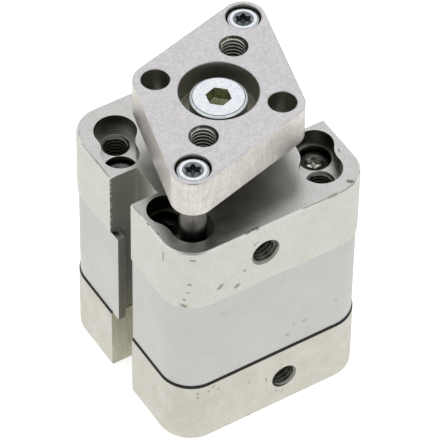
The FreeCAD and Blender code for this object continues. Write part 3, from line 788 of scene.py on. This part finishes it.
@dataclass
class Cover:
    """One end cover, with its pockets, mounting threads and air port, in millimetres."""

    node: str
    finish: Finish
    slot_finish: Finish
    port: str
    thread_corners: tuple[Corner, ...]
    opens: Vector
    corner_r: float = 6.4
    skin: float = 0.4
    port_skin: float = 0.8
    port_flat: float = 0.95
    port_mouth_r: float = 2.9
    pocket_depth: float = 3.6
    floor_room: float = 0.02
    countersink: float = 0.6
    thread_depth: float = 8.5
    box: Box = field(init=False)
    end_z: float = field(init=False)
    thread_at: float = field(init=False)

    def __post_init__(self) -> None:
        """Reads the cover's corners, the height of its end face and the place of its mounting threads."""
        self.box = box_mm(self.node)
        self.end_z = self.box[1 if self.opens.z > 0 else 0].z
        self.thread_at = mount("rear_mount_threads")["dims"]["spacing_x_mm"] / 2

    def from_port(self, centre: Vector) -> float:
        """How far a face's centre lies from the port's axis."""
        port = mount_place(self.port)
        return math.hypot(centre.x - port.x, centre.z - port.z)

    def in_thread(self, centre: Vector) -> bool:
        """True for the centre of a face on the core of a mounting thread or of the port's thread."""
        at = self.thread_at
        aside = [math.hypot(centre.x - sx * at, centre.y - sy * at) for sx, sy in self.thread_corners]
        return M5_TAP.on_core(min(*aside, self.from_port(centre)))

    def wall_of(self, centre: Vector, normal: Vector) -> Wall:
        """Tells the cover's outer faces from the walls of its cuts.

        Args:
            centre: The face's centre, in millimetres.
            normal: The face's normal.

        Returns:
            The skin on the sides, the end face with the pocket floors, a countersink, or the wall of a cut.
        """
        depth = depth_inside(centre, self.box[1].x, self.corner_r)
        from_end = abs(centre.z - self.end_z)
        sunk = from_end - self.pocket_depth
        at_floor = -self.floor_room < sunk < self.countersink and abs(normal.z) > SLOPED
        port_mouth = depth < self.port_skin and normal.y < -SLOPED
        if port_mouth and normal.y > -self.port_flat and self.from_port(centre) < self.port_mouth_r:
            return Wall.CREST
        corner = (math.copysign(1, centre.x), math.copysign(1, centre.y))
        # Pocket floors without a thread, beside the guide rods, take the darker bore finish as painted shade.
        if at_floor and corner not in self.thread_corners:
            return Wall.BORE
        if at_floor and sunk > self.floor_room:
            return Wall.SINK
        if from_end < self.skin and abs(normal.z) > FLAT or at_floor:
            return Wall.END
        if depth < self.skin or from_end < self.skin or port_mouth:
            return Wall.SKIN
        if self.in_thread(centre):
            return Wall.CREST
        return SENSOR_SLOT.wall(centre, normal) or Wall.BORE

    def build(self, shop: Shop) -> None:
        """Builds the cover in the shop."""
        piece = shop.piece(node_copy(self.node, self.wall_of), self.node + "_milled", self.finish, BORE,
                           self.slot_finish, COVER_CREST, COVER_END, THREAD, SINK)
        at, z_floor = self.thread_at, self.end_z - self.pocket_depth * self.opens.z
        cutters = [M5_TAP.cutter(Vector((sx * at, sy * at, z_floor)), self.opens, self.thread_depth)
                   for sx, sy in self.thread_corners]
        port, centre = mount(self.port), mount_place(self.port)
        mouth = Vector((centre.x, self.box[0].y, centre.z))
        cutters.append(M5_TAP.cutter(mouth, Vector(port["axis"]), port["dims"]["length_mm"]))
        cut_away(piece, cutters, Wall.GROOVE)
        shop.hand_over(piece, Body.FIXED, "cover_aluminium", self.node)


@dataclass
class Barrel:
    """The profile tube between the covers, in millimetres."""

    node: str = "barrel"
    corner_r: float = 6.15
    skin: float = 0.3
    half: float = field(init=False)

    def __post_init__(self) -> None:
        """Reads half the barrel's side."""
        self.half = box_mm(self.node)[1].x

    def wall_of(self, centre: Vector, normal: Vector) -> Wall:
        """Names the wall of a face.

        Args:
            centre: The face's centre, in millimetres.
            normal: The face's normal.

        Returns:
            Crest on the ends, skin on the sides, or the wall of a slot or of the bore.
        """
        if abs(normal.z) > SLOPED:
            return Wall.CREST
        if depth_inside(centre, self.half, self.corner_r) < self.skin:
            return Wall.SKIN
        return SENSOR_SLOT.wall(centre, normal) or Wall.BORE

    def build(self, shop: Shop) -> None:
        """Builds the barrel in the shop."""
        piece = shop.piece(node_copy(self.node, self.wall_of), "barrel_drawn", BARREL, BORE, SLOT, LIP_END)
        shop.hand_over(piece, Body.FIXED, "barrel_aluminium", self.node)


@dataclass
class GuidePlate:
    """The rounded diamond plate on the rods, in millimetres; its holes are x, y and radius."""

    node: str = "guide_plate"
    pilot_r: float = 7.0
    cap_bore_r: float = 3.15
    pin_hole_r: float = 2.5
    rim: float = 0.35
    rim_lean: float = 0.3
    box: Box = field(init=False)
    thread_at: float = field(init=False)
    holes: list[tuple[float, float, float]] = field(init=False)

    def __post_init__(self) -> None:
        """Reads the plate's corners and the places of its holes."""
        self.box = box_mm(self.node)
        at = mount("plate_threads")["dims"]["pcd_mm"] / 2 / math.sqrt(2)
        rod_low, rod_high = box_mm("guide_rod_right")
        guide = (rod_low.x + rod_high.x) / 2
        self.thread_at = at
        self.holes = [(0.0, 0.0, self.pilot_r)]
        for sign in (-1, 1):
            self.holes.append((sign * at, sign * at, self.pin_hole_r))
            self.holes.append((-sign * at, sign * at, self.pin_hole_r))
            self.holes.append((sign * guide, sign * guide, self.cap_bore_r))

    def wall_of(self, centre: Vector, normal: Vector) -> Wall:
        """Names the wall of a face.

        Args:
            centre: The face's centre, in millimetres.
            normal: The face's normal.

        Returns:
            Skin on top and on its rims, end underneath, groove at a thread's mouth, crest or bore in a hole,
            and flank round the outside.
        """
        low, high = self.box
        at_face = min(centre.z - low.z, high.z - centre.z) < self.rim and abs(normal.z) > self.rim_lean
        at = self.thread_at
        aside = min(math.hypot(centre.x - sign * at, centre.y - sign * at) for sign in (-1, 1))
        if at_face and M5_TAP.in_mouth(aside):
            return Wall.GROOVE
        if at_face:
            return Wall.SKIN if normal.z > 0 else Wall.END
        if M5_TAP.on_core(aside):
            return Wall.CREST
        in_hole = any(math.hypot(centre.x - x, centre.y - y) < r + self.rim for x, y, r in self.holes)
        return Wall.BORE if in_hole else Wall.FLANK

    def build(self, shop: Shop) -> None:
        """Builds the plate in the shop."""
        low, high = self.box
        piece = shop.piece(node_copy(self.node, self.wall_of), "guide_plate_milled", PLATE_TOP, PLATE_BORE,
                           PLATE_FLANK, CREST, PLATE_UNDER, THREAD)
        at, depth = self.thread_at, high.z - low.z + M5_TAP.pitch
        cutters = [M5_TAP.cutter(Vector((sign * at, sign * at, high.z)), UP, depth) for sign in (-1, 1)]
        cut_away(piece, cutters, Wall.GROOVE)
        shop.hand_over(piece, Body.MOVING, "plate_aluminium", self.node)


@dataclass
class SocketScrews:
    """A set of like socket screws that stands for one node, in millimetres.

    The head's edge is given by shares of head_break, inwards and down. A face of the head belongs to the
    first wall in rises whose number is below its normal's share of z.
    """

    node: str
    body: Body
    head_d: float
    head_h: float
    shank_d: float
    drive: Socket
    drive_d: float
    signs: tuple[Corner, ...]
    # Corners whose screws are painted near-black all over as shade.
    shaded_corners: tuple[Corner, ...] = ()
    heads_up: bool = True
    mouth_d: float = 4.0
    mouth_slope: float = 0.45
    mouth_low: float = 0.3
    spare: float = 0.5
    drive_turn: float = 0.0
    drive_share: float = 0.55
    lobes: int = 6
    lobe_share: float = 0.13
    tip_share: float = 0.3
    tip_break: float = 0.3
    head_break: float = 0.3
    head_edge: tuple[tuple[float, float], ...] = ((1.0, 0.0), (0.65, 0.1), (0.0, 0.75))
    sides: int = 64
    sharp: float = 30.0
    rises: tuple[tuple[Wall, float], ...] = ((Wall.SKIN, 0.99), (Wall.END, 0.85), (Wall.CREST, 0.05))
    # The top, drive, side, edge and dish take lit and shaded copies of one zinc plating: painted shade in the
    # drive, on the side and in the dish, a painted highlight on the edge.
    finishes: tuple[Finish, ...] = (ZINC, DRIVE, ZINC_SIDE, ZINC_EDGE, ZINC_DISH)

    def head(self, shank: float) -> Shape:
        """Turns one screw blank with the middle of its head's top at the origin.

        Args:
            shank: Length under the head, in millimetres.

        Returns:
            The blank.
        """
        head_r, shank_r, tip = self.head_d / 2, self.shank_d / 2, -self.head_h - shank
        reach = self.head_break
        edge = [(head_r - inwards * reach, -down * reach) for inwards, down in self.head_edge]
        under = [(head_r, -self.head_h), (shank_r, -self.head_h)]
        end = [(shank_r, tip + self.tip_break), (shank_r - self.tip_break, tip), (0, tip)]
        shape = revolved([(0, 0)] + edge + under + end, self.sides)
        bmesh.ops.remove_doubles(shape, verts=shape.verts, dist=WELD)
        bmesh.ops.recalc_face_normals(shape, faces=shape.faces)
        for face in shape.faces:
            wall = next((w for w, least in self.rises if face.normal.z > least), Wall.FLANK)
            face.material_index = wall.value
        return shape

    def drive_cutter(self) -> Shape:
        """Makes the shape that cuts the drive, with a hollow bottom, for a head at the origin."""
        depth, r = self.head_h * self.drive_share * MM, self.drive_d / 2 * MM
        shape = bmesh.new()
        bmesh.ops.create_circle(shape, cap_ends=True, segments=self.drive.value, radius=r)
        if self.drive is Socket.SIX_LOBE:
            for vert in shape.verts:
                wave = math.cos(self.lobes * math.atan2(vert.co.y, vert.co.x))
                vert.co *= 1 - self.lobe_share + self.lobe_share * wave
        turn = Matrix.Rotation(self.drive_turn, 3, "Z")
        bmesh.ops.rotate(shape, cent=(0, 0, 0), matrix=turn, verts=shape.verts)
        bmesh.ops.translate(shape, vec=UP * -depth, verts=shape.verts)
        raised = bmesh.ops.extrude_face_region(shape, geom=shape.faces[:])
        top = [v for v in raised["geom"] if isinstance(v, bmesh.types.BMVert)]
        bmesh.ops.translate(shape, vec=UP * (depth + 2 * self.spare * MM), verts=top)
        floor = [f for f in shape.faces if all(v.co.z < -depth / 2 for v in f.verts)]
        tip = bmesh.ops.poke(shape, faces=floor)["verts"]
        bmesh.ops.translate(shape, vec=UP * (-self.tip_share * r), verts=tip)
        bmesh.ops.recalc_face_normals(shape, faces=shape.faces)
        return shape

    def mouth_cutter(self) -> Shape:
        """Makes the cone that slopes the drive's mouth, for a head at the origin."""
        high_r, low_r = self.mouth_d / 2, self.mouth_low * self.mouth_d / 2
        below, above = (high_r - low_r) * self.mouth_slope, self.spare * self.mouth_slope
        shape = bmesh.new()
        bmesh.ops.create_cone(shape, cap_ends=True, segments=self.sides, radius1=low_r * MM,
                              radius2=(high_r + self.spare) * MM, depth=(below + above) * MM)
        bmesh.ops.translate(shape, vec=UP * ((above - below) / 2 * MM), verts=shape.verts)
        return shape

    def build(self, shop: Shop) -> None:
        """Builds the set in the shop."""
        low, high = box_mm(self.node)
        blank = shop.piece(self.head(high.z - low.z - self.head_h), "screw_blank", *self.finishes)
        cut_away(blank, [self.mouth_cutter()], Wall.END)
        cut_away(blank, [self.drive_cutter()])
        x, y = high.x - self.head_d / 2, high.y - self.head_d / 2
        turn = Matrix.Identity(4) if self.heads_up else Matrix.Rotation(math.pi, 4, "X")
        top = high.z if self.heads_up else low.z
        screws = []
        for sx, sy in self.signs:
            one = bmesh.new()
            one.from_mesh(blank.data)
            # The screws at these corners take the near-black finish as painted shade.
            if (sx, sy) in self.shaded_corners:
                paint(one, Wall.GROOVE)
            place = Matrix.Translation(millimetres((sx * x, sy * y, top)))
            bmesh.ops.transform(one, matrix=place @ turn, verts=one.verts)
            screws.append(one)
        bpy.data.objects.remove(blank)
        piece = shop.piece(joined(screws), self.node + "_zinc", *self.finishes)
        shop.hand_over(piece, self.body, "zinc_steel", self.node, self.sharp)


@dataclass
class PlainPiece:
    """A turned, moulded or cut piece whose shape the model already has, with its edges rounded."""

    node: str
    body: Body
    finishes: tuple[Finish, ...]
    slot: str
    ending: str
    edge_mm: float = 0.05

    @staticmethod
    def wall_of(centre: Vector, normal: Vector) -> Wall:
        """Tells the faces that show in a sensor slot from the rest, by centre in millimetres and normal."""
        return Wall.BORE if SENSOR_SLOT.wall(centre, normal) else Wall.SKIN

    def build(self, shop: Shop) -> None:
        """Builds the piece in the shop."""
        shape = node_copy(self.node, self.wall_of, self.edge_mm)
        piece = shop.piece(shape, f"{self.node}_{self.ending}", *self.finishes)
        shop.hand_over(piece, self.body, self.slot, self.node)


@dataclass
class Innards:
    """Pieces inside the body, which keep their own meshes and get a finish."""

    finishes: dict[str, Finish] = field(default_factory=lambda: {
        "front_o_ring": RUBBER, "rod_bush": BRONZE, "guide_bush_left": BRONZE, "guide_bush_right": BRONZE,
        "front_damper": RUBBER, "rear_damper": RUBBER, "piston_front_half": TURNED,
        "piston_rear_half": TURNED, "piston_magnet": MAGNET, "piston_guide_ring": POLYMER,
        "piston_seal_front": RUBBER, "piston_seal_rear": RUBBER, "piston_screw": ZINC,
    })

    def dress(self, shop: Shop) -> None:
        """Gives each inner node its finish."""
        for node, finish in self.finishes.items():
            mesh = frame["nodes"][node].data
            mesh.materials.clear()
            mesh.materials.append(shop.material(finish))
            LOG.info("%s: finish %s", node, finish.name)


@dataclass
class Studio:
    """Floor, light and the camera at the photograph's angle; colours are linear, with alpha."""

    WHITE = (1.0, 1.0, 1.0, 1.0)
    PAPER = (0.82, 0.82, 0.81, 1.0)
    PAPER_MIRRORED = (1.0, 0.995, 0.975, 1.0)
    SKY = (0.86, 0.865, 0.88, 1.0)
    CARD = (1.0, 1.0, 0.97, 1.0)

    azimuth: float = -32.466
    elevation: float = 47.302
    roll: float = 0.988
    distance_mm: float = 641.57
    target_mm: Point = (0.0, 0.0, 29.625)
    lens: float = 295.25
    sensor: float = 36.0
    shift: tuple[float, float] = (0.00814, 0.01245)
    clip_m: tuple[float, float] = (0.01, 20.0)
    floor_m: float = 4.0
    floor_drop_mm: float = 0.02
    floor_lift: float = 0.62
    card_m: float = 0.45
    card_r: float = 0.26
    card_core: float = 0.5
    card_grey: float = 0.25
    card_sides: int = 48
    lamp_m: float = 0.7
    lamp_w: float = 5.0
    lamp_at: Point = (0.15, 0.25, 0.9)

    def facing(self) -> Matrix:
        """How the camera is turned: its z axis points from the object to the camera."""
        turn = Matrix.Rotation(math.radians(self.azimuth), 4, "Z")
        tilt = Matrix.Rotation(math.radians(90 - self.elevation), 4, "X")
        return turn @ tilt @ Matrix.Rotation(math.radians(self.roll), 4, "Z")

    def camera(self) -> None:
        """Places the camera."""
        data = bpy.data.cameras.new("camera")
        data.lens, data.sensor_width = self.lens, self.sensor
        data.shift_x, data.shift_y = self.shift
        data.clip_start, data.clip_end = self.clip_m
        made = add_object("camera", data)
        made.matrix_world = self.facing()
        made.location = millimetres(self.target_mm) + self.facing() @ UP * (self.distance_mm * MM)
        bpy.context.scene.camera = made

    @staticmethod
    def rays(graph: Graph) -> tuple[Output, Output]:
        """Masks of the rays that the camera sends, and of those that a polished or clear face sends on."""
        path = graph.node("ShaderNodeLightPath").outputs
        mirrored = graph.math("MAXIMUM", path["Is Glossy Ray"], path["Is Transmission Ray"])
        return path["Is Camera Ray"], mirrored

    def floor(self) -> None:
        """Lays the pale floor, white to the eye and in reflections, with the object's shadow kept."""
        shape = bmesh.new()
        bmesh.ops.create_grid(shape, x_segments=1, y_segments=1, size=self.floor_m / 2)
        bmesh.ops.translate(shape, vec=UP * (-self.floor_drop_mm * MM), verts=shape.verts)
        material = bpy.data.materials.new("floor_white")
        graph = Graph.afresh(material)
        eye, mirrored = self.rays(graph)
        lift = graph.math("MULTIPLY", eye, self.floor_lift)
        paper = graph.node("ShaderNodeBsdfDiffuse", {"Color": self.PAPER}).outputs[0]
        glow = graph.node("ShaderNodeEmission", {"Color": self.WHITE, "Strength": lift}).outputs[0]
        seen = graph.node("ShaderNodeAddShader", {0: paper, 1: glow}).outputs[0]
        bright = graph.node("ShaderNodeEmission", {"Color": self.PAPER_MIRRORED, "Strength": 1.0}).outputs[0]
        mixed = graph.node("ShaderNodeMixShader", {0: mirrored, 1: seen, 2: bright}).outputs[0]
        graph.node("ShaderNodeOutputMaterial", {"Surface": mixed})
        made = add_object("floor", mesh_of(shape, "floor"))
        made.data.materials.append(material)

    def world(self) -> None:
        """Lights the scene from a pale sky, white to the eye and in reflections."""
        made = bpy.data.worlds.new("studio")
        graph = Graph.afresh(made)
        seen = graph.math("MAXIMUM", *self.rays(graph))
        light = {"Color": graph.mix(seen, self.SKY, self.WHITE), "Strength": 1.0}
        graph.node("ShaderNodeOutputWorld", {"Surface": graph.node("ShaderNodeBackground", light).outputs[0]})
        bpy.context.scene.world = made

    def card(self) -> None:
        """Stands a grey card towards the camera that only polished faces show, which darkens recesses."""
        back = self.facing() @ UP
        centre = back * self.card_m
        shape = bmesh.new()
        bmesh.ops.create_circle(shape, cap_ends=True, segments=self.card_sides, radius=self.card_r)
        bmesh.ops.transform(shape, matrix=turned_to(back, centre), verts=shape.verts)
        material = bpy.data.materials.new("card_grey")
        graph = Graph.afresh(material)
        away = graph.vector("DISTANCE", graph.place(), centre)
        cover = graph.ramp(away, self.card_core * self.card_r, self.card_r, 1.0, 0.0)
        clear = graph.node("ShaderNodeBsdfTransparent").outputs[0]
        grey = graph.node("ShaderNodeEmission", {"Color": self.CARD, "Strength": self.card_grey}).outputs[0]
        mixed = graph.node("ShaderNodeMixShader", {0: cover, 1: clear, 2: grey}).outputs[0]
        graph.node("ShaderNodeOutputMaterial", {"Surface": mixed})
        made = add_object("grey_card", mesh_of(shape, "grey_card"))
        made.data.materials.append(material)
        made.visible_camera = made.visible_diffuse = made.visible_shadow = False
        made.visible_transmission = made.visible_volume_scatter = False

    def lamp(self) -> None:
        """Hangs one large soft lamp over and behind the object for the floor's shadow."""
        data = bpy.data.lights.new("softbox", "AREA")
        data.shape, data.size, data.energy = "SQUARE", self.lamp_m, self.lamp_w
        made = add_object("softbox", data)
        made.location = self.lamp_at
        made.rotation_mode = "QUATERNION"
        made.rotation_quaternion = made.location.to_track_quat("Z", "Y")
        made.visible_glossy = False

    def build(self) -> None:
        """Sets up the whole studio."""
        bpy.context.scene.view_settings.view_transform = "Standard"
        self.camera()
        self.floor()
        self.world()
        self.card()
        self.lamp()


ALL_CORNERS = ((-1, -1), (1, -1), (1, 1), (-1, 1))
GUIDE_CORNERS = ((-1, -1), (1, 1))
FREE_CORNERS = ((1, -1), (-1, 1))


def main() -> None:
    """Builds every piece in order, then the studio."""
    logging.basicConfig(level=logging.INFO, format="%(message)s")
    shop = Shop()
    Cover("front_cover", FRONT_COVER, SLOT, "front_port", FREE_CORNERS, UP).build(shop)
    Cover("rear_cover", REAR_COVER, SLOT_PALE, "rear_port", ALL_CORNERS, -UP).build(shop)
    Barrel().build(shop)
    GuidePlate().build(shop)
    SocketScrews("plate_screw", Body.MOVING, head_d=10.0, head_h=4.0, shank_d=6.0, drive=Socket.HEX,
                 drive_d=4.62, signs=((0, 0),), mouth_d=4.1, drive_turn=math.radians(-13), head_break=0.5,
                 drive_share=0.62).build(shop)
    m3 = {"head_d": 5.5, "head_h": 3.0, "shank_d": 3.0, "drive": Socket.SIX_LOBE, "drive_d": 3.1,
          "mouth_d": 3.7}
    bright = (ZINC, DRIVE_GREY, ZINC_SIDE, ZINC_EDGE, ZINC_DISH)
    dull = (DULL_HEAD, GLINT_DRIVE, DULL_SIDE, DULL_SIDE, DULL_SIDE)
    SocketScrews("guide_rod_screws", Body.MOVING, signs=GUIDE_CORNERS, finishes=bright, **m3).build(shop)
    SocketScrews("front_cover_screws", Body.FIXED, signs=ALL_CORNERS, finishes=dull + (SHADED_SCREW,),
                 shaded_corners=GUIDE_CORNERS, **m3).build(shop)
    SocketScrews("rear_cover_screws", Body.FIXED, signs=ALL_CORNERS, finishes=dull, heads_up=False,
                 **m3).build(shop)
    for rod in ("guide_rod_left", "guide_rod_right", "piston_rod"):
        PlainPiece(rod, Body.MOVING, (GROUND,), "rod_steel", "ground").build(shop)
    PlainPiece("rod_seal", Body.FIXED, (RUBBER,), "seal_rubber", "moulded").build(shop)
    PlainPiece("rear_gasket", Body.FIXED, (RUBBER, DUSTY_RUBBER), "seal_rubber", "cut").build(shop)
    Innards().dress(shop)
    Studio().build()


if __name__ == "__main__":
    main()
